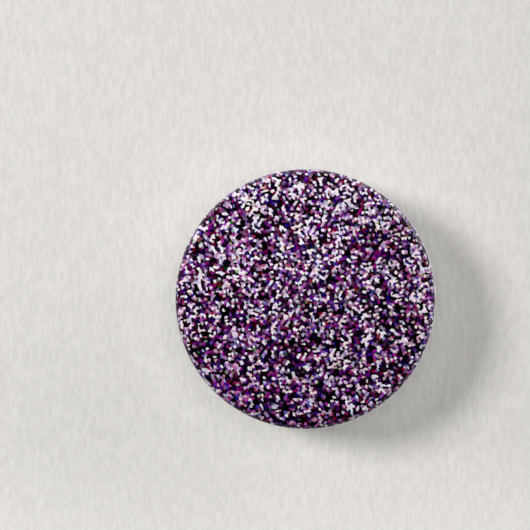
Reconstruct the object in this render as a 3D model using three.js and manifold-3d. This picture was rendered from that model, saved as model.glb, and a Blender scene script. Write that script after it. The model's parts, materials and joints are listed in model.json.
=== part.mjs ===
// A pin-back button badge, 1 1/4 inch across, in millimetres.
// It is held as it is worn: the printed face looks along -Y, the back along +Y, +Z is up.
// The origin is on the badge's axis, in the plane of the back rim.
// Seen from behind, the catch is on the left (+X) and the hinge bend on the right (-X).

import * as THREE from 'three';
import { mergeVertices } from 'three/addons/utils/BufferGeometryUtils.js';
import Module from 'manifold-3d';

const wasm = await Module();
wasm.setup();

// Whole badge
const BADGE_RADIUS = 31.75 / 2;
const BADGE_DEPTH = 5.8;
const CROWN_RADIUS = 110;
const CROWN_STOPS = [0, 5, 9.5, 13];
const EDGE_ROUND = 1.2;
const FRONT_SIDES = 48;
const ARC_STEP = Math.PI / 4;

// The three wrapped layers, from the outside in
const FILM_THICKNESS = 0.05;
const PAPER_THICKNESS = 0.11;
const SHELL_THICKNESS = 0.22;
const LAYER_GAP = 0.012;

// Where the layers roll round the back edge and tuck into the seam
const ROLL_TOP = -0.08;
const SEAM_RADIUS = 14.735;
const TUCK_DEPTH = -1.5;

// Back shell
const BACK_SIDES = 36;
const BACK_STEEL = 0.25;
const PLATEAU_Y = -2.5;
const PLATEAU_RADIUS = 9.9;
const FUNNEL_FOOT_RADIUS = 10.33;
const FUNNEL_FOOT_Y = -2.75;
const FUNNEL_TOP_RADIUS = 12.75;
const FUNNEL_TOP_Y = -1.3;
const RIDGE_RADIUS = 13.51;
const RIDGE_HALF_WIDTH = 0.09;
const RIDGE_Y = -0.3;
const GROOVE_RADIUS = 13.78;
const GROOVE_Y = -0.44;
const SEAM_GAP = 0.055;
const BEAD_INNER_RADIUS = 13.98;
const BEAD_ROUND = 0.28;
const BACK_FLANGE_Y = -1.6;

// The two slots in the back shell
const SLOT_CENTRE_X = 8.98;
const SLOT_CENTRE_Z = 0.2;
const SLOT_LENGTH = 6.1;
const SLOT_WIDTH = 3.0;
const SLOT_ARC_SIDES = 4;
const PUNCH_TOP_Y = 0.3;
const PUNCH_DEPTH = 4;

// Spring wire
const WIRE_RADIUS = 0.38;
const WIRE_HALF_SIDES = 4;
const WIRE_STEPS = 80;
const INNER_RUN_Y = -3.35;
const INNER_END_Y = -3.75;
const CATCH_Z = 0.75;
const CATCH_BOTTOM_Z = -3.22;
const CATCH_INNER_X = 6.74;
const CATCH_OUTER_X = 10.26;
const CATCH_OUTER_FOOT_X = 9.95;
const CATCH_TOP_Y = -1.3;
const CATCH_FOOT_Y = -0.6;
const HAIRPIN_BEND = 0.62;
const LEG_FOOT_BEND = 0.7;
const LEG_TOP_BEND = 0.6;
const CATCH_BEND = 1.5;

// Pin arm
const ARM_RADIUS = 0.36;
const ARM_NECK_RADIUS = 0.27;
const TIP_SHOULDER_RADIUS = 0.18;
const ARM_Y = -1.95;
const ARM_Z = -0.4;
const HINGE_X = -9.4;
const HINGE_GAP_X = -9.95;
const HAIRPIN_X = -10.9;
const TAPER_START_X = 3;
const NECK_X = 8.6;
const TIP_SHOULDER_X = 9.6;
const TIP_X = 10.5;
const ARM_SIDES = 12;
const ROOT_STEPS = 4;

// Limits of the outline and mesh helpers
const SMALLEST_BEND = 0.02;
const STRAIGHT_ANGLE = 0.01;
const WELD_DISTANCE = 1e-4;

function material(name, colour, roughness, metalness) {
  return new THREE.MeshStandardMaterial({ name, color: colour, roughness, metalness });
}

const filmMaterial = material('film', 0xf2f3f5, 0.12, 0);
const printMaterial = material('print', 0x4b2f63, 0.5, 0);
const tinplate = material('tinplate', 0xa9a8a4, 0.35, 1);
const backTinplate = material('back_tinplate', 0xb7b5ae, 0.32, 1);
const wireMaterial = material('nickel_wire', 0xd4d3cf, 0.2, 1);

// A bend in an outline: its two neighbours are joined by an arc of the given radius.
function corner(r, y, radius = 0) {
  return { at: new THREE.Vector2(r, y), radius };
}

// Directions into and out of corner i of an outline.
function headings(corners, i) {
  const last = corners.length - 1;
  const into = new THREE.Vector2().subVectors(corners[i].at, corners[Math.max(i - 1, 0)].at);
  const out = new THREE.Vector2().subVectors(corners[Math.min(i + 1, last)].at, corners[i].at);
  if (i === 0) {
    into.copy(out);
  }
  if (i === last) {
    out.copy(into);
  }
  return [into.normalize(), out.normalize()];
}

// The same outline moved sideways to its left by distance, with its arcs kept concentric.
function offsetOutline(corners, distance) {
  return corners.map((c, i) => {
    const [into, out] = headings(corners, i);
    const leftIn = new THREE.Vector2(-into.y, into.x);
    const leftOut = new THREE.Vector2(-out.y, out.x);
    const mitre = leftIn.clone().add(leftOut).divideScalar(1 + leftIn.dot(leftOut));
    const at = c.at.clone().addScaledVector(mitre, distance);
    if (c.at.x === 0) {
      at.x = 0;
    }
    const turn = Math.sign(into.cross(out));
    const radius = c.radius === 0 ? 0 : Math.max(c.radius - distance * turn, SMALLEST_BEND);
    return { at, radius };
  });
}

// The outline's points, with every rounded corner drawn as an arc.
function outlinePoints(corners) {
  const points = [];
  corners.forEach((c, i) => {
    const [into, out] = headings(corners, i);
    const bend = Math.acos(THREE.MathUtils.clamp(into.dot(out), -1, 1));
    if (c.radius === 0 || bend < STRAIGHT_ANGLE) {
      points.push(c.at.clone());
      return;
    }
    const turn = Math.sign(into.cross(out));
    const back = c.radius * Math.tan(bend / 2);
    const start = c.at.clone().addScaledVector(into, -back);
    const centre = start.clone().addScaledVector(new THREE.Vector2(-into.y, into.x), turn * c.radius);
    const steps = Math.max(1, Math.round(bend / ARC_STEP));
    for (let k = 0; k <= steps; k += 1) {
      points.push(start.clone().rotateAround(centre, (turn * bend * k) / steps));
    }
  });
  return points;
}

// A sheet of even thickness turned about the badge's axis, with the given number of sides.
function turnedSheet(corners, thickness, around) {
  const outer = outlinePoints(corners);
  const inner = outlinePoints(offsetOutline(corners, thickness));
  const profile = [...outer, ...inner.reverse()];
  if (!THREE.ShapeUtils.isClockWise(profile)) {
    return new THREE.LatheGeometry(profile, around);
  }
  return new THREE.LatheGeometry(profile.reverse(), around);
}

// Position-only geometry with shared vertices and no collapsed triangles.
function weld(geometry) {
  const bare = geometry.clone();
  bare.deleteAttribute('normal');
  bare.deleteAttribute('uv');
  const merged = mergeVertices(bare, WELD_DISTANCE);
  const kept = [];
  const index = merged.index.array;
  for (let i = 0; i < index.length; i += 3) {
    const [a, b, c] = [index[i], index[i + 1], index[i + 2]];
    if (a !== b && b !== c && c !== a) {
      kept.push(a, b, c);
    }
  }
  merged.setIndex(kept);
  return merged;
}

function toSolid(geometry) {
  const welded = weld(geometry);
  return new wasm.Manifold(new wasm.Mesh({
    numProp: 3,
    vertProperties: new Float32Array(welded.attributes.position.array),
    triVerts: new Uint32Array(welded.index.array),
  }));
}

function toGeometry(solid) {
  const mesh = solid.getMesh();
  const geometry = new THREE.BufferGeometry();
  geometry.setAttribute('position', new THREE.BufferAttribute(mesh.vertProperties, 3));
  geometry.setIndex(new THREE.BufferAttribute(mesh.triVerts, 1));
  geometry.computeVertexNormals();
  return geometry;
}

// Outside of the badge, from the middle of the face round the edge and into the seam.
function wrapOutline() {
  const crownY = (r) => -BADGE_DEPTH + (r * r) / (2 * CROWN_RADIUS);
  const roll = (BADGE_RADIUS - SEAM_RADIUS) / 2;
  return [
    ...CROWN_STOPS.map((r) => corner(r, crownY(r))),
    corner(BADGE_RADIUS, crownY(BADGE_RADIUS), EDGE_ROUND),
    corner(BADGE_RADIUS, ROLL_TOP, roll),
    corner(SEAM_RADIUS, ROLL_TOP, roll),
    corner(SEAM_RADIUS, TUCK_DEPTH),
  ];
}

// One of the wrapped layers, depth below the outside of the badge.
function wrappedLayer(depth, thickness) {
  return turnedSheet(offsetOutline(wrapOutline(), depth), thickness, FRONT_SIDES);
}

// Back face of the back shell, from its middle out to its flange.
function backOutline() {
  const flange = SEAM_RADIUS - SEAM_GAP;
  return [
    corner(0, PLATEAU_Y),
    corner(PLATEAU_RADIUS, PLATEAU_Y),
    corner(FUNNEL_FOOT_RADIUS, FUNNEL_FOOT_Y),
    corner(FUNNEL_TOP_RADIUS, FUNNEL_TOP_Y),
    corner(RIDGE_RADIUS - RIDGE_HALF_WIDTH, RIDGE_Y),
    corner(RIDGE_RADIUS + RIDGE_HALF_WIDTH, RIDGE_Y),
    corner(GROOVE_RADIUS, GROOVE_Y),
    corner(BEAD_INNER_RADIUS, 0, BEAD_ROUND),
    corner(flange, 0, BEAD_ROUND),
    corner(flange, BACK_FLANGE_Y),
  ];
}

// A flat bar with round ends, along Y, that punches a slot.
function slotPunch(x) {
  const half = (SLOT_LENGTH - SLOT_WIDTH) / 2;
  const outline = new THREE.Shape();
  outline.absarc(half, 0, SLOT_WIDTH / 2, -Math.PI / 2, Math.PI / 2, false);
  outline.absarc(-half, 0, SLOT_WIDTH / 2, Math.PI / 2, (3 * Math.PI) / 2, false);
  const geometry = new THREE.ExtrudeGeometry(outline, {
    depth: PUNCH_DEPTH,
    bevelEnabled: false,
    curveSegments: SLOT_ARC_SIDES,
  });
  geometry.rotateX(Math.PI / 2);
  geometry.translate(x, PUNCH_TOP_Y, SLOT_CENTRE_Z);
  return geometry;
}

function backShell() {
  const sheet = toSolid(turnedSheet(backOutline(), -BACK_STEEL, BACK_SIDES));
  const punches = [SLOT_CENTRE_X, -SLOT_CENTRE_X].map((x) => toSolid(slotPunch(x)));
  return toGeometry(punches.reduce((solid, punch) => solid.subtract(punch), sheet));
}

// A wire's centreline through corner points, each rounded over the given distance.
function wireLine(stops) {
  const line = new THREE.CurvePath();
  let from = stops[0].at;
  for (let i = 1; i < stops.length - 1; i += 1) {
    const { at, round } = stops[i];
    const enter = at.clone().add(stops[i - 1].at.clone().sub(at).setLength(round));
    const leave = at.clone().add(stops[i + 1].at.clone().sub(at).setLength(round));
    line.add(new THREE.LineCurve3(from, enter));
    line.add(new THREE.QuadraticBezierCurve3(enter, at, leave));
    from = leave;
  }
  line.add(new THREE.LineCurve3(from, stops[stops.length - 1].at));
  return line;
}

function stop(x, y, z, round = 0) {
  return { at: new THREE.Vector3(x, y, z), round };
}

// The held part of the wire: hairpin at the hinge, the run inside the badge and the U
// catch, whose outer leg ends inside the badge.
function catchWire() {
  const line = wireLine([
    stop(HINGE_GAP_X, ARM_Y, ARM_Z),
    stop(HAIRPIN_X, ARM_Y, ARM_Z, HAIRPIN_BEND),
    stop(HAIRPIN_X, INNER_RUN_Y, ARM_Z, HAIRPIN_BEND),
    stop(CATCH_INNER_X, INNER_RUN_Y, CATCH_Z, LEG_FOOT_BEND),
    stop(CATCH_INNER_X, CATCH_TOP_Y, CATCH_Z, LEG_TOP_BEND),
    stop(CATCH_INNER_X, CATCH_FOOT_Y, CATCH_BOTTOM_Z, CATCH_BEND),
    stop(CATCH_OUTER_FOOT_X, CATCH_FOOT_Y, CATCH_BOTTOM_Z, CATCH_BEND),
    stop(CATCH_OUTER_X, CATCH_TOP_Y, CATCH_Z, LEG_TOP_BEND),
    stop(CATCH_OUTER_X, INNER_END_Y, CATCH_Z),
  ]);
  const section = new THREE.Shape();
  section.absarc(0, 0, WIRE_RADIUS, 0, 2 * Math.PI, false);
  return new THREE.ExtrudeGeometry(section, {
    steps: WIRE_STEPS,
    curveSegments: WIRE_HALF_SIDES,
    bevelEnabled: false,
    extrudePath: line,
  });
}

// The moving part of the wire along its own axis: a round root at the hinge bend, a
// straight arm and a ground point.
function pinArm() {
  const profile = [];
  for (let k = 0; k <= ROOT_STEPS; k += 1) {
    const a = (-Math.PI / 2) * (1 - k / ROOT_STEPS);
    profile.push(new THREE.Vector2(ARM_RADIUS * Math.cos(a), ARM_RADIUS * Math.sin(a)));
  }
  profile[0].x = 0;
  profile.push(new THREE.Vector2(ARM_RADIUS, TAPER_START_X - HINGE_X));
  profile.push(new THREE.Vector2(ARM_NECK_RADIUS, NECK_X - HINGE_X));
  profile.push(new THREE.Vector2(TIP_SHOULDER_RADIUS, TIP_SHOULDER_X - HINGE_X));
  profile.push(new THREE.Vector2(0, TIP_X - HINGE_X));
  return new THREE.LatheGeometry(profile, ARM_SIDES);
}

const badge = new THREE.Group();

function add(name, geometry, finish) {
  const mesh = new THREE.Mesh(geometry, finish);
  mesh.name = name;
  badge.add(mesh);
  return mesh;
}

const paperDepth = FILM_THICKNESS + LAYER_GAP;
const shellDepth = paperDepth + PAPER_THICKNESS + LAYER_GAP;

add('clear_film', wrappedLayer(0, FILM_THICKNESS), filmMaterial);
add('printed_disc', wrappedLayer(paperDepth, PAPER_THICKNESS), printMaterial);
add('front_shell', wrappedLayer(shellDepth, SHELL_THICKNESS), tinplate);
add('back_shell', backShell(), backTinplate);
add('catch_wire', catchWire(), wireMaterial);

const arm = add('pin_arm', pinArm(), wireMaterial);
arm.position.set(HINGE_X, ARM_Y, ARM_Z);
arm.rotation.z = -Math.PI / 2;

export default badge;
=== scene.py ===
"""Looks of the pin-back button badge: print, film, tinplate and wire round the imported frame."""
import json
import math

import bpy
import numpy as np
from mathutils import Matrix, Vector


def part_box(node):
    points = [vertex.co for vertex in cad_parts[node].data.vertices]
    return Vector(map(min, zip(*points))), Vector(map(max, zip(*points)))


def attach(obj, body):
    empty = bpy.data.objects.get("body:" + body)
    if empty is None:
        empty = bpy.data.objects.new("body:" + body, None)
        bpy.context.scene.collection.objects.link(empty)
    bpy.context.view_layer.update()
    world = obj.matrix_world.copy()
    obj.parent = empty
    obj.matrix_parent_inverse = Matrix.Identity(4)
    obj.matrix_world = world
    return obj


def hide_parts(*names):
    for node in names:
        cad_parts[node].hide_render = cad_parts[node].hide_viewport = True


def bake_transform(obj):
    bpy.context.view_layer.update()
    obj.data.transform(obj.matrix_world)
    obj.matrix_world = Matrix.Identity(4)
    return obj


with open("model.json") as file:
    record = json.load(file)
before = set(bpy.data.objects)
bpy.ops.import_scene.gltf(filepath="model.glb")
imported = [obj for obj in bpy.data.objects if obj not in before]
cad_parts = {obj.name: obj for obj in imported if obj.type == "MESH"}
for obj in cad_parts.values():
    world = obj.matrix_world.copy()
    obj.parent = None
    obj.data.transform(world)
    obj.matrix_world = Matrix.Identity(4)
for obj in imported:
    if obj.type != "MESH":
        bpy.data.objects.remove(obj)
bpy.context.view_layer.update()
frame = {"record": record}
MM = 0.001
rng = np.random.default_rng(1271)

# ---------------------------------------------------------------- sizes, in millimetres
film_low, film_high = [np.array(p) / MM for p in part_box("clear_film")]
back_high = np.array(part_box("back_shell")[1]) / MM
catch_low, catch_high = [np.array(p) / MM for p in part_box("catch_wire")]
arm_low, arm_high = [np.array(p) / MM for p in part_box("pin_arm")]
joint = frame["record"]["behaviour"]["joints"][0]
hinge = np.array(joint["pos_m"]) / MM

BADGE_RADIUS = film_high[0]
FACE_Y = film_low[1]
ROLL_TOP = film_high[1]
CROWN_RADIUS = 110.0
EDGE_ROUND = 1.2
SEAM_GAP = 0.055
FLANGE_RADIUS = back_high[0]
SEAM_RADIUS = FLANGE_RADIUS + SEAM_GAP
TUCK_Y = -1.5
FILM, PAPER, STEEL, LAYER_GAP = 0.05, 0.11, 0.22, 0.012

SMALLEST_BEND = 0.02
STRAIGHT_ANGLE = 0.01

BACK_STEEL = 0.25
PLATEAU_RADIUS, PLATEAU_Y = 9.9, -2.5
FUNNEL_FOOT_RADIUS, FUNNEL_FOOT_Y = 10.1, -2.75
FUNNEL_TOP_RADIUS, FUNNEL_TOP_Y = 12.95, -1.05
RIDGE_RADIUS, RIDGE_Y = 13.4, -0.26
RIDGE_WIDTH, RIDGE_FALL = 0.2, 0.04
GROOVE_RADIUS, GROOVE_Y = 13.74, -0.46
BEAD_RADIUS, BEAD_OUTER_Y = 13.86, -0.24
FLANGE_Y = -1.6

SLOT_X, SLOT_Z = 8.98, 0.2
SLOT_LENGTH, SLOT_WIDTH = 6.1, 3.0

WIRE_RADIUS = 0.38
ARM_RADIUS = (arm_high[2] - arm_low[2]) / 2
ARM_NECK = 0.27
TAPER_START_X, NECK_X = 3.0, 8.6


# ---------------------------------------------------------------- outlines turned about the axis
def left_of(v):
    return np.array([-v[1], v[0]])


def headings(corners, i):
    """Unit directions into and out of corner i of an outline of (radius, y, rounding)."""
    points = [np.array(c[:2], float) for c in corners]
    last = len(points) - 1
    into = points[i] - points[i - 1] if i > 0 else points[1] - points[0]
    out = points[i + 1] - points[i] if i < last else into
    return into / np.linalg.norm(into), out / np.linalg.norm(out)


def cross(a, b):
    return a[0] * b[1] - a[1] * b[0]


def offset_outline(corners, distance):
    """The outline moved to its left by distance, its arcs kept concentric."""
    moved = []
    for i, (r, y, rounding) in enumerate(corners):
        into, out = headings(corners, i)
        mitre = (left_of(into) + left_of(out)) / (1 + left_of(into) @ left_of(out))
        at = np.array([r, y]) + mitre * distance
        if r == 0:
            at[0] = 0
        turn = np.sign(cross(into, out))
        if rounding:
            rounding = max(rounding - distance * turn, SMALLEST_BEND)
        moved.append((at[0], at[1], rounding))
    return moved


def outline_points(corners, arc_step, line_step):
    """The outline's points: arcs at the corners, and straight stretches cut into steps."""
    stops = []
    for i, (r, y, rounding) in enumerate(corners):
        into, out = headings(corners, i)
        bend = math.acos(float(np.clip(into @ out, -1, 1)))
        at = np.array([r, y], float)
        if not rounding or bend < STRAIGHT_ANGLE:
            stops.append([at])
            continue
        turn = np.sign(cross(into, out))
        start = at - into * rounding * math.tan(bend / 2)
        centre = start + left_of(into) * turn * rounding
        steps = max(2, math.ceil(bend / arc_step))
        arc = []
        for k in range(steps + 1):
            a = turn * bend * k / steps
            turned = np.array([[math.cos(a), -math.sin(a)], [math.sin(a), math.cos(a)]])
            arc.append(centre + turned @ (start - centre))
        stops.append(arc)
    points = []
    for here, after in zip(stops, stops[1:] + [None]):
        points.extend(here)
        if after is None:
            break
        gap = after[0] - here[-1]
        pieces = max(1, math.ceil(np.linalg.norm(gap) / line_step))
        points.extend(here[-1] + gap * k / pieces for k in range(1, pieces))
    return np.array(points)


def along(points):
    """Distance along an outline to each of its points."""
    steps = np.linalg.norm(np.diff(points, axis=0), axis=1)
    return np.concatenate([[0], np.cumsum(steps)])


def turned(name, outer, inner, angles, shape=None):
    """A closed mesh turned from an outer and an inner outline that both start on the axis.
    shape moves the points, in millimetres. The flat_mm map is the sheet laid flat."""
    profile = np.vstack([outer, inner[::-1]])
    flat = np.concatenate([along(outer), along(inner)[::-1]])
    count, rings = len(angles), len(profile) - 2
    r, y, s = profile[1:-1, 0], profile[1:-1, 1], flat[1:-1]
    grid = np.stack([
        np.outer(r, np.cos(angles)),
        np.outer(y, np.ones(count)),
        np.outer(r, np.sin(angles)),
    ], axis=-1).reshape(-1, 3)
    lay = np.stack([np.outer(s, np.cos(angles)), np.outer(s, np.sin(angles))], axis=-1)
    lay = lay.reshape(-1, 2)
    points = np.vstack([[[0, profile[0, 1], 0]], grid, [[0, profile[-1, 1], 0]]])
    lay = np.vstack([[[0, 0]], lay, [[0, 0]]])
    if shape is not None:
        points = shape(points)
    faces = []
    last = len(points) - 1
    for j in range(count):
        k = (j + 1) % count
        faces.append((0, 1 + j, 1 + k))
        end = 1 + (rings - 1) * count
        faces.append((last, end + k, end + j))
    ring = np.arange(rings - 1)[:, None] * count + 1
    j = np.arange(count)[None, :]
    k = (j + 1) % count
    quads = np.stack([ring + j, ring + count + j, ring + count + k, ring + k], axis=-1)
    faces.extend(map(tuple, quads.reshape(-1, 4).tolist()))
    return mesh_object(name, points, faces, lay)


def mesh_object(name, points, faces, lay=None):
    """A smooth-shaded mesh object from points in millimetres, its faces turned outwards."""
    mesh = bpy.data.meshes.new(name)
    mesh.from_pydata((np.asarray(points) * MM).tolist(), [], faces)
    mesh.validate()
    if lay is not None:
        layer = mesh.uv_layers.new(name="flat_mm")
        corners = np.empty(len(mesh.loops), np.int32)
        mesh.loops.foreach_get("vertex_index", corners)
        layer.data.foreach_set("uv", np.asarray(lay, np.float32)[corners].ravel())
    piece = bpy.data.objects.new(name, mesh)
    bpy.context.scene.collection.objects.link(piece)
    face_outwards(mesh)
    mesh.shade_smooth()
    return piece


def face_outwards(mesh):
    """Flips every face if the mesh's signed volume says that it is inside out."""
    mesh.calc_loop_triangles()
    points = np.empty(len(mesh.vertices) * 3)
    mesh.vertices.foreach_get("co", points)
    corners = np.empty(len(mesh.loop_triangles) * 3, np.int32)
    mesh.loop_triangles.foreach_get("vertices", corners)
    a, b, c = np.moveaxis(points.reshape(-1, 3)[corners.reshape(-1, 3)], 1, 0)
    if np.einsum("ij,ij->i", a, np.cross(b, c)).sum() < 0:
        mesh.flip_normals()


def smoothstep(low, high, value):
    t = np.clip((value - low) / (high - low), 0, 1)
    return t * t * (3 - 2 * t)


# ---------------------------------------------------------------- face, print and wrapped edge
ROLL_RADIUS = (BADGE_RADIUS - SEAM_RADIUS) / 2
ROLL_CENTRE = (SEAM_RADIUS + ROLL_RADIUS, ROLL_TOP - ROLL_RADIUS)
CROWN_STOPS = 12
PLEATS = 64
PLEAT_SHIFT = 0.42
PLEAT_DEPTH = 0.075
PLEAT_SHALLOWEST, PLEAT_MOSTLY_SHALLOW = 0.1, 1.6
PLEAT_NARROWEST, PLEAT_WIDEST = 0.9, 2.0
PLEATS_START, PLEATS_FULL = 0.4, 2.7
shifts = rng.uniform(-PLEAT_SHIFT, PLEAT_SHIFT, PLEATS)
pleat_angles = (np.arange(PLEATS) + shifts) * 2 * math.pi / PLEATS
pleat_depths = rng.uniform(PLEAT_SHALLOWEST, 1.0, PLEATS) ** PLEAT_MOSTLY_SHALLOW
pleat_widths = np.radians(rng.uniform(PLEAT_NARROWEST, PLEAT_WIDEST, PLEATS))


def pleats(points):
    """Small radial folds where the wrapped layers are gathered towards the seam. PLEATS_START
    and PLEATS_FULL are angles round the roll, in radians, from its outermost line."""
    r = np.hypot(points[:, 0], points[:, 2])
    angle = np.arctan2(points[:, 2], points[:, 0])
    away = np.stack([r - ROLL_CENTRE[0], np.maximum(points[:, 1] - ROLL_CENTRE[1], 0)], axis=1)
    length = np.maximum(np.linalg.norm(away, axis=1), 1e-6)
    round_roll = np.arctan2(away[:, 1], away[:, 0])
    near_roll = (r > BADGE_RADIUS - 2) * (points[:, 1] > TUCK_Y - 1)
    weight = smoothstep(PLEATS_START, PLEATS_FULL, round_roll) * near_roll
    dips = np.zeros(len(points))
    for at, depth, width in zip(pleat_angles, pleat_depths, pleat_widths):
        off = np.angle(np.exp(1j * (angle - at)))
        dips += depth * np.exp(-((off / width) ** 2))
    move = PLEAT_DEPTH * dips * weight
    r_new = r - move * away[:, 0] / length
    y_new = points[:, 1] - move * away[:, 1] / length
    scale = r_new / np.maximum(r, 1e-6)
    return np.stack([points[:, 0] * scale, y_new, points[:, 2] * scale], axis=1)


def wrap_outline():
    """Outside of the badge, from the middle of its face round the edge and into the seam."""
    crown = [
        (r, FACE_Y + r * r / (2 * CROWN_RADIUS), 0)
        for r in np.linspace(0, BADGE_RADIUS - EDGE_ROUND, CROWN_STOPS)[:-1]
    ]
    edge_y = FACE_Y + BADGE_RADIUS ** 2 / (2 * CROWN_RADIUS)
    return crown + [
        (BADGE_RADIUS, edge_y, EDGE_ROUND),
        (BADGE_RADIUS, ROLL_TOP, ROLL_RADIUS),
        (SEAM_RADIUS, ROLL_TOP, ROLL_RADIUS),
        (SEAM_RADIUS, TUCK_Y, 0),
    ]


def wrapped_layer(name, depth, thickness, count=480):
    """One layer of the wrap, depth below the outside and cut into count steps round."""
    outside, inside = [offset_outline(wrap_outline(), d) for d in (depth, depth + thickness)]
    outer = outline_points(outside, arc_step=math.radians(9), line_step=0.6)
    inner = outline_points(inside, arc_step=math.radians(16), line_step=1.2)
    angles = np.arange(count) * 2 * math.pi / count
    return turned(name, outer, inner, angles, pleats)


# ---------------------------------------------------------------- back shell
LIP_HEIGHT, LIP_OUT, LIP_WIDTH = 0.035, 0.18, 0.15
LIP_DROP, DROP_START, DROP_END = 0.1, 0.2, -0.1
CREASE_Z, CREASE_DEPTH, CREASE_STEP, CREASE_FADE = -0.72, 0.13, 0.14, 0.7
CREASE_STARTS, CREASE_ENDS = (11.3, 12.0), (13.35, 12.95)
CREASE_NEAREST_X = 10.0
LIPS_END_RADIUS = 13.3
PUNCH_LOW_Y, PUNCH_HIGH_Y, PUNCH_ARC_POINTS = -4.0, 0.5, 33
SLOT_ARC, SLOT_STEPS, OTHER_STEPS = math.radians(20), 160, 80
FINE_RADIUS, UNDER_FINE_RADIUS, COARSE_STEP = 4.9, 5.0, 1.4
CREASE_ANGLE = math.radians(38)


def back_outline():
    """Back face of the back shell, from its middle to the end of its flange."""
    return [
        (0, PLATEAU_Y, 0),
        (PLATEAU_RADIUS, PLATEAU_Y, 0.4),
        (FUNNEL_FOOT_RADIUS, FUNNEL_FOOT_Y, 0.06),
        (FUNNEL_TOP_RADIUS, FUNNEL_TOP_Y, 1.2),
        (RIDGE_RADIUS, RIDGE_Y, 0.14),
        (RIDGE_RADIUS + RIDGE_WIDTH, RIDGE_Y - RIDGE_FALL, 0.12),
        (GROOVE_RADIUS, GROOVE_Y, 0.08),
        (BEAD_RADIUS, 0, 0.2),
        (FLANGE_RADIUS, BEAD_OUTER_Y, 0.2),
        (FLANGE_RADIUS, FLANGE_Y, 0),
    ]


def slot_distance(x, z):
    """Distance from the edge of the nearer slot, negative inside it."""
    half = (SLOT_LENGTH - SLOT_WIDTH) / 2
    past = np.maximum(np.abs(np.abs(x) - SLOT_X) - half, 0)
    return np.hypot(past, z - SLOT_Z) - SLOT_WIDTH / 2


def back_relief(points):
    """Rolled lips round the slots, and the crease from each slot out to the rim."""
    x, y, z = points.T
    r = np.hypot(x, z)
    d = slot_distance(x, z)
    lip = LIP_HEIGHT * np.exp(-(((d - LIP_OUT) / LIP_WIDTH) ** 2))
    lip -= LIP_DROP * smoothstep(DROP_START, DROP_END, d)
    below = CREASE_Z - z
    step = smoothstep(0, CREASE_STEP, below) * np.exp(-np.maximum(below, 0) / CREASE_FADE)
    reach = smoothstep(*CREASE_STARTS, r) * smoothstep(*CREASE_ENDS, r)
    reach = reach * (np.abs(x) > CREASE_NEAREST_X)
    y = y + lip * (r < LIPS_END_RADIUS) - CREASE_DEPTH * step * reach
    return np.stack([x, y, z], axis=1)


def slot_punch():
    """Both slots' cutter, as one object of two flat bars with round ends."""
    points, faces = [], []
    half = (SLOT_LENGTH - SLOT_WIDTH) / 2
    arc = np.linspace(-math.pi / 2, math.pi / 2, PUNCH_ARC_POINTS)
    for side in (1, -1):
        ring = [(half + math.cos(a) * SLOT_WIDTH / 2, math.sin(a) * SLOT_WIDTH / 2) for a in arc]
        ring += [(-x, -z) for x, z in ring]
        start, n = len(points), len(ring)
        for y in (PUNCH_LOW_Y, PUNCH_HIGH_Y):
            points += [(side * SLOT_X + x, y, SLOT_Z + z) for x, z in ring]
        faces.append(tuple(start + k for k in range(n)))
        faces.append(tuple(start + n + k for k in reversed(range(n))))
        for k in range(n):
            after = (k + 1) % n
            faces.append((start + after, start + k, start + n + k, start + n + after))
    return mesh_object("slot_punch", points, faces)


def back_angles():
    """Angles round the back shell, close together where the slots are."""
    angles = []
    for start in (0, math.pi):
        across = np.linspace(-1, 1, SLOT_STEPS + 1)[:-1]
        between = np.linspace(0, 1, OTHER_STEPS + 1)[:-1]
        angles += list(start + across * SLOT_ARC)
        angles += list(start + SLOT_ARC + between * (math.pi - 2 * SLOT_ARC))
    return np.array(angles)


def thinned(points, fine_radius, step):
    """The points of an outline, with those inside fine_radius at least step apart."""
    keep = [0]
    for i in range(1, len(points)):
        if points[i, 0] >= fine_radius or points[i, 0] - points[keep[-1], 0] >= step:
            keep.append(i)
    return points[keep]


def make_back_shell():
    """The back shell, turned, pressed and punched."""
    outer = outline_points(back_outline(), arc_step=math.radians(10), line_step=0.07)
    outer = thinned(outer, FINE_RADIUS, COARSE_STEP)
    inside = offset_outline(back_outline(), -BACK_STEEL)
    under = outline_points(inside, arc_step=math.radians(20), line_step=0.22)
    under = thinned(under, UNDER_FINE_RADIUS, math.inf)
    shell = turned("back_shell_pressed", outer, under, back_angles(), back_relief)
    punch = slot_punch()
    cut = shell.modifiers.new("slots", "BOOLEAN")
    cut.operation = "DIFFERENCE"
    cut.solver = "EXACT"
    cut.object = punch
    graph = bpy.context.evaluated_depsgraph_get()
    mesh = bpy.data.meshes.new_from_object(shell.evaluated_get(graph), depsgraph=graph)
    shell.modifiers.clear()
    shell.data = mesh
    bpy.data.objects.remove(punch)
    mesh.shade_smooth()
    mesh.set_sharp_from_angle(angle=CREASE_ANGLE)
    return shell


# ---------------------------------------------------------------- spring wire
def wire_line(stops, spacing=0.06):
    """Points along a wire through corner stops of (x, y, z, rounding)."""
    stops = [(np.array(s[:3], float), s[3]) for s in stops]
    points = []
    at = stops[0][0]

    def straight(a, b):
        n = max(1, math.ceil(np.linalg.norm(b - a) / spacing))
        points.extend(a + (b - a) * k / n for k in range(n))

    for (before, _), (here, rounding), (after, _) in zip(stops, stops[1:], stops[2:]):
        enter = here + (before - here) / np.linalg.norm(before - here) * rounding
        leave = here + (after - here) / np.linalg.norm(after - here) * rounding
        straight(at, enter)
        n = max(6, math.ceil(2 * rounding / spacing))
        for k in range(n):
            t = k / n
            points.append((1 - t) ** 2 * enter + 2 * t * (1 - t) * here + t * t * leave)
        at = leave
    straight(at, stops[-1][0])
    points.append(stops[-1][0])
    return np.array(points)


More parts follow.
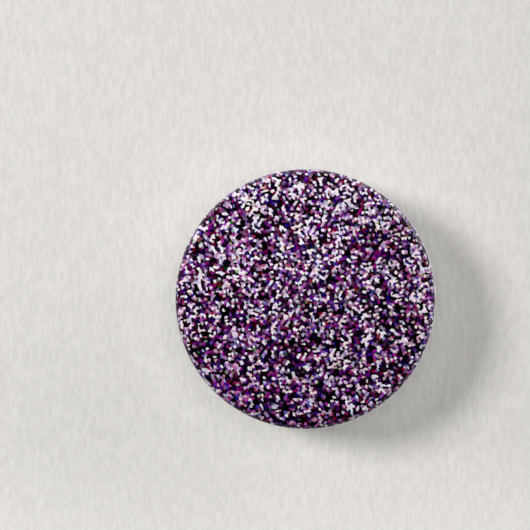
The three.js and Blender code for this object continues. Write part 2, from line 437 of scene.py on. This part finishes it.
def wire_mesh(name, points, radii, sides=20):
    """A round wire along points, closed at both ends, with its map in millimetres."""
    tangents = np.gradient(points, axis=0)
    tangents /= np.linalg.norm(tangents, axis=1)[:, None]
    side = np.cross(tangents[0], [0, 0, 1.0])
    if np.linalg.norm(side) < 0.1:
        side = np.cross(tangents[0], [0, 1.0, 0])
    side /= np.linalg.norm(side)
    turn = np.arange(sides) * 2 * math.pi / sides
    length = along(points)
    rows, lay = [], []
    for point, tangent, radius, s in zip(points, tangents, radii, length):
        side = side - tangent * (side @ tangent)
        side /= np.linalg.norm(side)
        other = np.cross(tangent, side)
        rows.append(point + radius * (np.outer(np.cos(turn), side) + np.outer(np.sin(turn), other)))
        lay.append(np.stack([np.full(sides, s), turn * WIRE_RADIUS], axis=1))
    verts = np.vstack(rows + [points[:1], points[-1:]])
    lay = np.vstack(lay + [[[0, 0]], [[length[-1], 0]]])
    n = len(points)
    faces = []
    for i in range(n - 1):
        for j in range(sides):
            k = (j + 1) % sides
            faces.append((i * sides + j, i * sides + k, (i + 1) * sides + k, (i + 1) * sides + j))
    first, last = n * sides, n * sides + 1
    for j in range(sides):
        k = (j + 1) % sides
        faces.append((first, k, j))
        faces.append((last, (n - 1) * sides + j, (n - 1) * sides + k))
    return mesh_object(name, verts, faces, lay)


HAIRPIN_X = catch_low[0] + WIRE_RADIUS
INNER_RUN_Y = -3.35
CATCH_FOOT_Y = catch_high[1] - WIRE_RADIUS
CATCH_BOTTOM_Z = catch_low[2] + WIRE_RADIUS
CATCH_Z = 0.75
CATCH_TOP_Y = -1.3
CATCH_INNER_X, CATCH_OUTER_X, CATCH_OUTER_FOOT_X = 6.74, 10.26, 9.95
INNER_END_Y = -3.75
HAIRPIN_BEND, LEG_FOOT_BEND, LEG_TOP_BEND, CATCH_BEND = 0.62, 0.7, 0.6, 1.5
HAIRPIN_MIDDLE_Y = (INNER_RUN_Y + hinge[1]) / 2
CUT_END = 0.8
ROOT_START, ROOT_END = 0.5, 1.6
ARM_OVERLAP = 0.02
POINT_RADIUS, POINT_BLUNTNESS = 0.008, 0.5


def make_catch():
    """The held part of the wire: half the hairpin, the inner run and the U of the catch."""
    points = wire_line([
        (HAIRPIN_X, HAIRPIN_MIDDLE_Y, hinge[2], 0),
        (HAIRPIN_X, INNER_RUN_Y, hinge[2], HAIRPIN_BEND),
        (CATCH_INNER_X, INNER_RUN_Y, CATCH_Z, LEG_FOOT_BEND),
        (CATCH_INNER_X, CATCH_TOP_Y, CATCH_Z, LEG_TOP_BEND),
        (CATCH_INNER_X, CATCH_FOOT_Y, CATCH_BOTTOM_Z, CATCH_BEND),
        (CATCH_OUTER_FOOT_X, CATCH_FOOT_Y, CATCH_BOTTOM_Z, CATCH_BEND),
        (CATCH_OUTER_X, CATCH_TOP_Y, CATCH_Z, LEG_TOP_BEND),
        (CATCH_OUTER_X, INNER_END_Y, CATCH_Z, 0),
    ])
    radii = np.full(len(points), WIRE_RADIUS)
    radii[-1] = WIRE_RADIUS * CUT_END
    return wire_mesh("catch_wire_bent", points, radii)


def make_arm():
    """The moving part of the wire: the other half of the hairpin, the arm and its point."""
    points = wire_line([
        (HAIRPIN_X, HAIRPIN_MIDDLE_Y - ARM_OVERLAP, hinge[2], 0),
        (HAIRPIN_X, hinge[1], hinge[2], HAIRPIN_BEND),
        (arm_high[0], hinge[1], hinge[2], 0),
    ])
    x = points[:, 0]
    radii = np.interp(x - HAIRPIN_X, [ROOT_START, ROOT_END], [WIRE_RADIUS, ARM_RADIUS])
    taper = np.interp(x, [TAPER_START_X, NECK_X], [ARM_RADIUS, ARM_NECK])
    reach = np.clip((arm_high[0] - x) / (arm_high[0] - NECK_X), 0, 1)
    point = np.maximum(ARM_NECK * reach ** POINT_BLUNTNESS, POINT_RADIUS)
    radii = np.where(x > TAPER_START_X, taper, radii)
    radii = np.where(x > NECK_X, point, radii)
    return wire_mesh("pin_arm_bent", points, radii)


# ---------------------------------------------------------------- material helpers
class Nodes:
    """A material's node tree, with short calls to add and join nodes."""

    def __init__(self, name):
        self.material = bpy.data.materials.new(name)
        self.material.use_nodes = True
        self.tree = self.material.node_tree
        self.tree.nodes.clear()
        self.output = self.add("ShaderNodeOutputMaterial")

    def add(self, kind, settings=None, **inputs):
        node = self.tree.nodes.new(kind)
        for key, value in (settings or {}).items():
            setattr(node, key, value)
        for key, value in inputs.items():
            self.put(node.inputs[key.replace("_", " ")], value)
        return node

    def put(self, socket, value):
        if isinstance(value, bpy.types.NodeSocket):
            self.tree.links.new(value, socket)
        else:
            socket.default_value = value

    def maths(self, operation, a, b=0.5, c=0.0):
        node = self.add("ShaderNodeMath", {"operation": operation})
        for socket, value in zip(node.inputs, (a, b, c)):
            self.put(socket, value)
        return node.outputs[0]

    def weighed(self, a, share, b):
        """Two values mixed, with the first one's share given."""
        first, second = self.maths("MULTIPLY", a, share), self.maths("MULTIPLY", b, 1 - share)
        return self.maths("ADD", first, second)

    def ramp(self, value, stops):
        node = self.add("ShaderNodeValToRGB", Fac=value)
        elements = node.color_ramp.elements
        while len(elements) < len(stops):
            elements.new(1.0)
        for element, (position, _) in zip(elements, stops):
            element.position = position
        for element, (_, colour) in zip(elements, stops):
            element.color = (*colour, 1)
        return node.outputs["Color"]

    def mix(self, factor, a, b):
        node = self.add("ShaderNodeMix", {"data_type": "RGBA"})
        self.put(node.inputs[0], factor)
        self.put(node.inputs[6], a)
        self.put(node.inputs[7], b)
        return node.outputs[2]

    def noise(self, vector, scale, detail=2.0, roughness=0.5, dimensions="3D"):
        node = self.add("ShaderNodeTexNoise", {"noise_dimensions": dimensions}, Vector=vector)
        node.inputs["Scale"].default_value = scale
        node.inputs["Detail"].default_value = detail
        node.inputs["Roughness"].default_value = roughness
        return node.outputs["Fac"]

    def span(self, value, low, high, to_low=0.0, to_high=1.0, settings=None):
        """The value moved from the span low to high onto another, and held at its ends."""
        node = self.add("ShaderNodeMapRange", settings, Value=value)
        names = ("From Min", "From Max", "To Min", "To Max")
        for name, number in zip(names, (low, high, to_low, to_high)):
            node.inputs[name].default_value = number
        return node.outputs[0]

    def stretch(self, vector, scale):
        node = self.add("ShaderNodeMapping", Vector=vector)
        node.inputs["Scale"].default_value = scale
        return node.outputs["Vector"]

    def bump(self, height, strength, distance):
        node = self.add("ShaderNodeBump", Height=height)
        node.inputs["Strength"].default_value = strength
        node.inputs["Distance"].default_value = distance
        return node.outputs["Normal"]

    def finish(self, shader):
        self.tree.links.new(shader, self.output.inputs["Surface"])
        return self.material


def srgb(code):
    """Linear red, green and blue of a colour written as six hexadecimal digits."""
    values = [int(code[i : i + 2], 16) / 255 for i in (0, 2, 4)]
    return tuple(v / 12.92 if v <= 0.04045 else ((v + 0.055) / 1.055) ** 2.4 for v in values)


def grey(value):
    return (value, value, value)


# ---------------------------------------------------------------- the print
CELL_MM, CELL_TURN, CELL_RANDOMNESS = 0.32, math.radians(34), 0.88
CLUMPS_PER_MM, CLUMP_WEIGHT = 0.6, 0.36
CLOUDS_PER_MM, CLOUD_WEIGHT = 0.09, 0.25
# Painted shade: the print is made lighter by this much per millimetre upwards, as if lit from above
# and shaded below.
PAINTED_LIGHT_PER_MM_UP = 0.005
TONES = ((0.0, 0.0), (0.22, 0.02), (0.5, 0.37), (0.82, 0.84), (0.88, 0.93), (1.0, 1.0))
MIDDLE_HUE, HUE_SPREAD, FAR_HUE, FAR_POWER = 0.82, 0.105, 0.035, 5.0
PALE_HUE_SPREAD, PALE_POWER = 0.14, 6.0
SATURATIONS = ((0.0, 1.0), (0.2, 1.0), (0.35, 0.95), (0.6, 0.6), (0.8, 0.2), (0.93, 0.06))
LEAST_SATURATION, SATURATION_RANGE = 0.3, 1.4
STRAY_FROM, STRAY_DULLING = 0.95, 0.55
FIRST_SHUFFLE, SECOND_SHUFFLE = 61.0, 43.0
PRINT_GAMMA = 2.2
TRIM_Y, TRIM_TILT_Z, TRIM_TILT_X = -1.35, 0.011, -0.006
PAPER_SCALE = 2600
PAPER_SPECULAR, PAPER_SMOOTHEST, PAPER_UNEVENNESS = 0.06, 0.5, 0.16


def print_material():
    """Random flat-coloured cells from edge to edge, and bare white paper past the trim line.
    A cell's hue lies round purple, the light cells are the pale ones, and a few dull cells
    have a hue of their own. TONES gives how light a cell is from its level, and SATURATIONS
    how coloured it is from how light it is. The shuffles draw new random numbers from a
    cell's first three."""
    n = Nodes("glitter_print")
    flat = n.add("ShaderNodeUVMap", {"uv_map": "flat_mm"}).outputs["UV"]
    slanted = n.add("ShaderNodeMapping", Vector=flat, Rotation=(0, 0, CELL_TURN)).outputs[0]
    kind = {"voronoi_dimensions": "2D", "feature": "F1"}
    cells = n.add("ShaderNodeTexVoronoi", kind, Vector=slanted)
    cells.inputs["Scale"].default_value = 1 / CELL_MM
    cells.inputs["Randomness"].default_value = CELL_RANDOMNESS
    pick = n.add("ShaderNodeSeparateColor", Color=cells.outputs["Color"])
    for_tone, for_hue, for_strength = pick.outputs[0], pick.outputs[1], pick.outputs[2]

    middle = cells.outputs["Position"]
    clump = n.maths("SUBTRACT", n.noise(middle, CLUMPS_PER_MM, 3.0, 0.6, "2D"), 0.5)
    cloud = n.maths("SUBTRACT", n.noise(middle, CLOUDS_PER_MM, 1.0, 0.5, "2D"), 0.5)
    # Painted shade: the cells' level rises with height on the face, so the print is lighter at the
    # top and darker at the bottom.
    height = n.add("ShaderNodeSeparateXYZ", Vector=flat).outputs["Y"]
    level = n.maths("MULTIPLY_ADD", clump, CLUMP_WEIGHT, for_tone)
    level = n.maths("MULTIPLY_ADD", cloud, CLOUD_WEIGHT, level)
    level = n.maths("MULTIPLY_ADD", height, PAINTED_LIGHT_PER_MM_UP, level)
    tone = n.ramp(level, [(at, grey(value)) for at, value in TONES])

    off = n.maths("MULTIPLY_ADD", for_hue, 2.0, -1.0)
    spread = n.maths("POWER", tone, PALE_POWER)
    spread = n.maths("MULTIPLY_ADD", spread, PALE_HUE_SPREAD, HUE_SPREAD)
    hue = n.maths("MULTIPLY_ADD", off, spread, MIDDLE_HUE)
    hue = n.maths("MULTIPLY_ADD", n.maths("POWER", off, FAR_POWER), FAR_HUE, hue)
    chance = n.maths("FRACT", n.maths("MULTIPLY", for_strength, FIRST_SHUFFLE))
    stray = n.maths("GREATER_THAN", chance, STRAY_FROM)
    other = n.maths("FRACT", n.maths("MULTIPLY", for_hue, SECOND_SHUFFLE))
    hue = n.maths("FRACT", n.maths("MULTIPLY_ADD", stray, other, hue))

    pale = n.ramp(tone, [(at, grey(value)) for at, value in SATURATIONS])
    strength = n.maths("MULTIPLY_ADD", for_strength, SATURATION_RANGE, LEAST_SATURATION)
    strength = n.maths("MULTIPLY", pale, strength)
    dulled = n.maths("MULTIPLY_ADD", stray, -STRAY_DULLING, 1.0)
    strength = n.maths("MULTIPLY", strength, dulled)
    colour = n.add("ShaderNodeCombineColor", {"mode": "HSV"}, Red=hue, Green=strength, Blue=tone)
    colour = n.add("ShaderNodeGamma", Color=colour.outputs[0], Gamma=PRINT_GAMMA).outputs[0]

    place = n.add("ShaderNodeTexCoord").outputs["Object"]
    part = n.add("ShaderNodeSeparateXYZ", Vector=place)
    fibre = n.noise(place, PAPER_SCALE, 3.0, 0.6)
    paper = n.ramp(fibre, [(0.25, srgb("e9e8e4")), (0.75, srgb("f8f8f5"))])
    up = n.maths("MULTIPLY", part.outputs["Z"], TRIM_TILT_Z)
    across = n.maths("MULTIPLY", part.outputs["X"], TRIM_TILT_X)
    line = n.maths("ADD", part.outputs["Y"], n.maths("ADD", up, across))
    trimmed = n.maths("GREATER_THAN", line, TRIM_Y * MM)
    colour = n.mix(trimmed, colour, paper)

    surface = n.add("ShaderNodeBsdfPrincipled", Base_Color=colour)
    surface.inputs["Specular IOR Level"].default_value = PAPER_SPECULAR
    roughness = n.maths("MULTIPLY_ADD", fibre, PAPER_UNEVENNESS, PAPER_SMOOTHEST)
    n.put(surface.inputs["Roughness"], roughness)
    n.put(surface.inputs["Normal"], n.bump(fibre, strength=0.12, distance=0.00001))
    return n.finish(surface.outputs[0])


# ---------------------------------------------------------------- clear film
RIPPLE_SCALE, FILM_FINE_SCALE = 420, 5200
FINE_SHARE = 0.04
FILM_IOR, FILM_SMOOTHEST, FILM_UNEVENNESS = 1.5, 0.07, 0.08


def film_material():
    """Clear polyester: what is under it shows through, and its gloss lies on top."""
    n = Nodes("clear_polyester_film")
    place = n.add("ShaderNodeTexCoord").outputs["Object"]
    ripple = n.noise(place, RIPPLE_SCALE)
    fine = n.noise(place, FILM_FINE_SCALE)
    height = n.maths("ADD", ripple, n.maths("MULTIPLY", fine, FINE_SHARE))
    normal = n.bump(height, strength=0.35, distance=0.00004)
    gloss = n.add("ShaderNodeBsdfGlossy", Color=(1, 1, 1, 1), Normal=normal)
    roughness = n.maths("ADD", n.maths("MULTIPLY", fine, FILM_UNEVENNESS), FILM_SMOOTHEST)
    n.put(gloss.inputs["Roughness"], roughness)
    clear = n.add("ShaderNodeBsdfTransparent", Color=(0.985, 0.985, 0.99, 1))
    fresnel = n.add("ShaderNodeFresnel", Normal=normal)
    fresnel.inputs["IOR"].default_value = FILM_IOR
    outside = n.maths("SUBTRACT", 1.0, n.add("ShaderNodeNewGeometry").outputs["Backfacing"])
    blend = n.add("ShaderNodeMixShader", Fac=n.maths("MULTIPLY", fresnel.outputs[0], outside))
    n.put(blend.inputs[1], clear.outputs[0])
    n.put(blend.inputs[2], gloss.outputs[0])
    return n.finish(blend.outputs[0])


# ---------------------------------------------------------------- tinplate and wire
GRAIN_SCALES, STREAK_SCALES, SHEET_CLOUD_SCALE = (12000, 1000, 1000), (5200, 380, 380), 260
GRAIN_SHARE, SHEET_CLOUD_SHARE = 0.55, 0.2
SMOOTHER, ROUGHER = 0.07, 0.09
WIRE_LINE_SCALES, TARNISH_SCALE, WIRE_LINE_SHARE = (0.5, 22, 1), 900, 0.35
WIRE_SMOOTHEST, WIRE_UNEVENNESS = 0.13, 0.16


def tinplate_material(name, light, middle, dark, rough, grain_strength):
    """Bright tinplate with the straight rolled grain of the sheet running up and down."""
    n = Nodes(name)
    place = n.add("ShaderNodeTexCoord").outputs["Object"]
    grain = n.noise(n.stretch(place, GRAIN_SCALES), 1.0, 4.0, 0.65)
    streak = n.noise(n.stretch(place, STREAK_SCALES), 1.0, 3.0, 0.6)
    cloud = n.noise(place, SHEET_CLOUD_SCALE, 3.0, 0.55)
    mixed = n.weighed(grain, GRAIN_SHARE, streak)
    tone = n.weighed(cloud, SHEET_CLOUD_SHARE, mixed)
    colour = n.ramp(tone, [(0.32, srgb(dark)), (0.53, srgb(middle)), (0.7, srgb(light))])
    surface = n.add("ShaderNodeBsdfPrincipled", Base_Color=colour)
    surface.inputs["Metallic"].default_value = 1.0
    roughness = n.span(mixed, 0.3, 0.7, rough - SMOOTHER, rough + ROUGHER)
    n.put(surface.inputs["Roughness"], roughness)
    n.put(surface.inputs["Normal"], n.bump(mixed, strength=grain_strength, distance=0.00002))
    return n.finish(surface.outputs[0])


def wire_material():
    """Bright nickel plate over drawn wire, with faint lines along the wire."""
    n = Nodes("nickel_plated_wire")
    lay = n.add("ShaderNodeUVMap", {"uv_map": "flat_mm"}).outputs["UV"]
    drawn = n.noise(n.stretch(lay, WIRE_LINE_SCALES), 1.0, 3.0, 0.6, "2D")
    place = n.add("ShaderNodeTexCoord").outputs["Object"]
    tarnish = n.noise(place, TARNISH_SCALE, 3.0, 0.6)
    tone = n.weighed(drawn, WIRE_LINE_SHARE, tarnish)
    colour = n.ramp(tone, [(0.34, srgb("b6b4af")), (0.62, srgb("e6e5e2"))])
    surface = n.add("ShaderNodeBsdfPrincipled", Base_Color=colour)
    surface.inputs["Metallic"].default_value = 1.0
    roughness = n.maths("ADD", n.maths("MULTIPLY", tone, WIRE_UNEVENNESS), WIRE_SMOOTHEST)
    n.put(surface.inputs["Roughness"], roughness)
    n.put(surface.inputs["Normal"], n.bump(drawn, strength=0.12, distance=0.00002))
    return n.finish(surface.outputs[0])


# ---------------------------------------------------------------- stage
WALL_Y = 6.0
FLOOR_Z = -62.0
SWEEP_RADIUS = 45.0
SWEEP_STEPS = 96
FADE_FROM, FADE_TO = 130.0, 420.0
STAGE_WIDE, STAGE_TALL, FLOOR_REACH = 600.0, 600.0, 900.0
TOOTH_SCALES = (2100, 900, 760)


def stage_material():
    """Pale board with a faint upright tooth, seen from the front only, that fades out far away."""
    n = Nodes("pale_board")
    place = n.add("ShaderNodeTexCoord").outputs["Object"]
    tooth = n.noise(n.stretch(place, TOOTH_SCALES), 1.0, 2.0, 0.55)
    colour = n.ramp(tooth, [(0.3, srgb("dddbd7")), (0.7, srgb("e9e7e4"))])
    surface = n.add("ShaderNodeBsdfPrincipled", Base_Color=colour)
    surface.inputs["Roughness"].default_value = 0.9
    surface.inputs["Specular IOR Level"].default_value = 0.1
    clear = n.add("ShaderNodeBsdfTransparent")
    behind = n.add("ShaderNodeNewGeometry").outputs["Backfacing"]
    away = n.add("ShaderNodeVectorMath", {"operation": "LENGTH"})
    n.put(away.inputs[0], place)
    soft = {"interpolation_type": "SMOOTHSTEP"}
    fade = n.span(away.outputs["Value"], FADE_FROM * MM, FADE_TO * MM, settings=soft)
    blend = n.add("ShaderNodeMixShader", Fac=n.maths("MAXIMUM", behind, fade))
    n.put(blend.inputs[1], surface.outputs[0])
    n.put(blend.inputs[2], clear.outputs[0])
    return n.finish(blend.outputs[0])


def make_stage():
    """A board close behind the badge that sweeps down into a floor, and a floor behind it."""
    foot_y = WALL_Y - SWEEP_RADIUS
    line = [(WALL_Y, STAGE_TALL), (WALL_Y, FLOOR_Z + SWEEP_RADIUS)]
    for k in range(1, SWEEP_STEPS + 1):
        a = math.radians(90) * k / SWEEP_STEPS
        up = FLOOR_Z + SWEEP_RADIUS - SWEEP_RADIUS * math.sin(a)
        line.append((foot_y + SWEEP_RADIUS * math.cos(a), up))
    line.append((-FLOOR_REACH, FLOOR_Z))
    points = [(x, y, z) for y, z in line for x in (-STAGE_WIDE, STAGE_WIDE)]
    faces = [(2 * i, 2 * i + 2, 2 * i + 3, 2 * i + 1) for i in range(len(line) - 1)]
    sides = ((foot_y, (-STAGE_WIDE, STAGE_WIDE)), (FLOOR_REACH, (STAGE_WIDE, -STAGE_WIDE)))
    corners = [(x, y) for y, ends in sides for x in ends]
    sweep = sheet_object("board", points, faces)
    floor = sheet_object("floor_behind", [(x, y, FLOOR_Z) for x, y in corners], [(0, 1, 2, 3)])
    finish = stage_material()
    for sheet in (sweep, floor):
        sheet.data.materials.append(finish)
        sheet.visible_shadow = False
        sheet.visible_glossy = False
        sheet.visible_diffuse = False


def sheet_object(name, points, faces):
    """A smooth-shaded open sheet from points in millimetres."""
    mesh = bpy.data.meshes.new(name)
    mesh.from_pydata((np.array(points) * MM).tolist(), [], faces)
    mesh.shade_smooth()
    sheet = bpy.data.objects.new(name, mesh)
    bpy.context.scene.collection.objects.link(sheet)
    return sheet


def aim(thing, target):
    """Turns a lamp to face a point in metres."""
    direction = Vector(target) - thing.location
    thing.rotation_euler = direction.to_track_quat("-Z", "Y").to_euler()


def lamp(name, at, size, power, colour, glossy=True):
    """A round lamp facing the middle of the badge, its place and size in millimetres. With
    glossy off it lights the badge but no surface shows it."""
    data = bpy.data.lights.new(name, "AREA")
    data.shape = "DISK"
    data.size = size * MM
    data.energy = power
    data.color = colour
    thing = bpy.data.objects.new(name, data)
    thing.location = [v * MM for v in at]
    aim(thing, (0, 0, 0))
    thing.visible_glossy = glossy
    bpy.context.scene.collection.objects.link(thing)
    return thing


def light_only(lamps, pieces):
    """Keeps lamps behind the badge off everything but these pieces, as the board would."""
    lit = bpy.data.collections.new("lit_from_behind")
    for piece in pieces:
        lit.objects.link(piece)
    for thing in lamps:
        thing.light_linking.receiver_collection = lit


SURROUND = (
    (0.0, 0.012), (0.22, 0.03), (0.4, 0.4), (0.55, 0.8), (0.77, 0.95),
    (0.9, 1.75), (0.955, 1.7), (0.985, 0.36), (1.0, 0.22),
)
BRIGHT_SIDE = (0.64, 0.0, 0.77)
DIM_FROM, DIM_TO, DIMMEST = -0.7, 0.8, 0.2
COOLER = 1.01
SEEN_COLOUR = "dedcd9"


def make_world():
    """What the film and the metal reflect: dark straight ahead of the face, grey straight
    behind, bright round the sides, and dimmer down to the -X side. SURROUND runs from
    straight ahead of the face, at 0, to straight behind, at 1."""
    world = bpy.data.worlds.new("studio")
    bpy.context.scene.world = world
    world.use_nodes = True
    tree = world.node_tree
    tree.nodes.clear()

    def add(kind, *values):
        node = tree.nodes.new(kind)
        for socket, value in zip(node.inputs, values):
            if isinstance(value, bpy.types.NodeSocket):
                tree.links.new(value, socket)
            else:
                socket.default_value = value
        return node

    where = add("ShaderNodeTexCoord").outputs["Generated"]
    parts = add("ShaderNodeSeparateXYZ", where)
    across = add("ShaderNodeMapRange", parts.outputs["Y"], -1.0, 1.0, 0.0, 1.0)
    ramp = add("ShaderNodeValToRGB", across.outputs[0])
    elements = ramp.color_ramp.elements
    while len(elements) < len(SURROUND):
        elements.new(1.0)
    for element, (position, _) in zip(elements, SURROUND):
        element.position = position
    for element, (_, level) in zip(elements, SURROUND):
        element.color = (level, level, level * COOLER, 1)
    slope = add("ShaderNodeVectorMath", where, BRIGHT_SIDE)
    slope.operation = "DOT_PRODUCT"
    side = add("ShaderNodeMapRange", slope.outputs["Value"], DIM_FROM, DIM_TO, DIMMEST, 1.0)
    surround = add("ShaderNodeBackground", ramp.outputs["Color"], side.outputs[0])
    seen = add("ShaderNodeBackground", (*srgb(SEEN_COLOUR), 1))
    seen_ray = add("ShaderNodeLightPath").outputs["Is Camera Ray"]
    blend = add("ShaderNodeMixShader", seen_ray, surround.outputs[0], seen.outputs[0])
    add("ShaderNodeOutputWorld", blend.outputs[0])


# ---------------------------------------------------------------- camera
BADGE_ACROSS = 0.492
LENS_MM = 110
SENSOR_MM = 36
BADGE_RIGHT, BADGE_DOWN = 0.0764, 0.0642
RIM_DEPTH = 2.0


def make_camera():
    """Square on to the face. The badge sits a little right of and below the frame's middle."""
    frame_mm = 2 * BADGE_RADIUS / BADGE_ACROSS
    distance = frame_mm * LENS_MM / SENSOR_MM
    data = bpy.data.cameras.new("camera")
    data.lens = LENS_MM
    data.sensor_width = SENSOR_MM
    data.clip_start = 0.001
    camera = bpy.data.objects.new("camera", data)
    camera.location = (
        -BADGE_RIGHT * frame_mm * MM,
        (FACE_Y + RIM_DEPTH - distance) * MM,
        BADGE_DOWN * frame_mm * MM,
    )
    camera.rotation_euler = (math.radians(90), 0, 0)
    bpy.context.scene.collection.objects.link(camera)
    bpy.context.scene.camera = camera


# ---------------------------------------------------------------- make everything
make_camera()
bpy.context.scene.view_settings.view_transform = "Standard"
make_world()
make_stage()
lamp("key", (-410, -450, 160), 200, 2.55, (1.0, 0.99, 0.98), glossy=False)
lamp("fill", (60, -800, 80), 600, 2.75, (1.0, 0.995, 0.985), glossy=False)
lamp("rim", (500, -100, 380), 420, 1.2, (0.97, 0.93, 1.0))
back_key = lamp("back_key", (-330, 200, 210), 440, 0.5, (1.0, 0.99, 0.98))
back_low = lamp("back_low", (250, 220, -330), 360, 0.25, (1.0, 0.99, 0.98))
lamp("back_fill", (300, 620, 260), 500, 1.2, (1.0, 0.995, 0.985), glossy=False)

film = wrapped_layer("film_wrap", 0, FILM)
paper = wrapped_layer("print_wrap", FILM + LAYER_GAP, PAPER)
shell = wrapped_layer("front_shell_pressed", FILM + PAPER + 2 * LAYER_GAP, STEEL, 240)
back = make_back_shell()
catch = make_catch()
arm = make_arm()

film.data.materials.append(film_material())
paper.data.materials.append(print_material())
front_tin = tinplate_material("front_tinplate", "eae3dc", "d8d1ca", "c6bfb8", 0.55, 0.25)
shell.data.materials.append(front_tin)
back_tin = tinplate_material("back_tinplate", "f0efed", "cbcac7", "bfbebb", 0.3, 0.07)
back.data.materials.clear()
back.data.materials.append(back_tin)
nickel = wire_material()
catch.data.materials.append(nickel)
arm.data.materials.append(nickel)

light_only((back_key, back_low), (paper, shell, back, catch, arm))

for piece, node, slot in (
    (film, "clear_film", "clear_film"),
    (paper, "printed_disc", "printed_paper"),
    (shell, "front_shell", "tinplate_front"),
    (back, "back_shell", "tinplate_back"),
    (catch, "catch_wire", "spring_wire"),
    (arm, "pin_arm", "spring_wire"),
):
    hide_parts(node)
for piece in (film, paper, shell, back, catch):
    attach(piece, "badge")
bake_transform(arm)
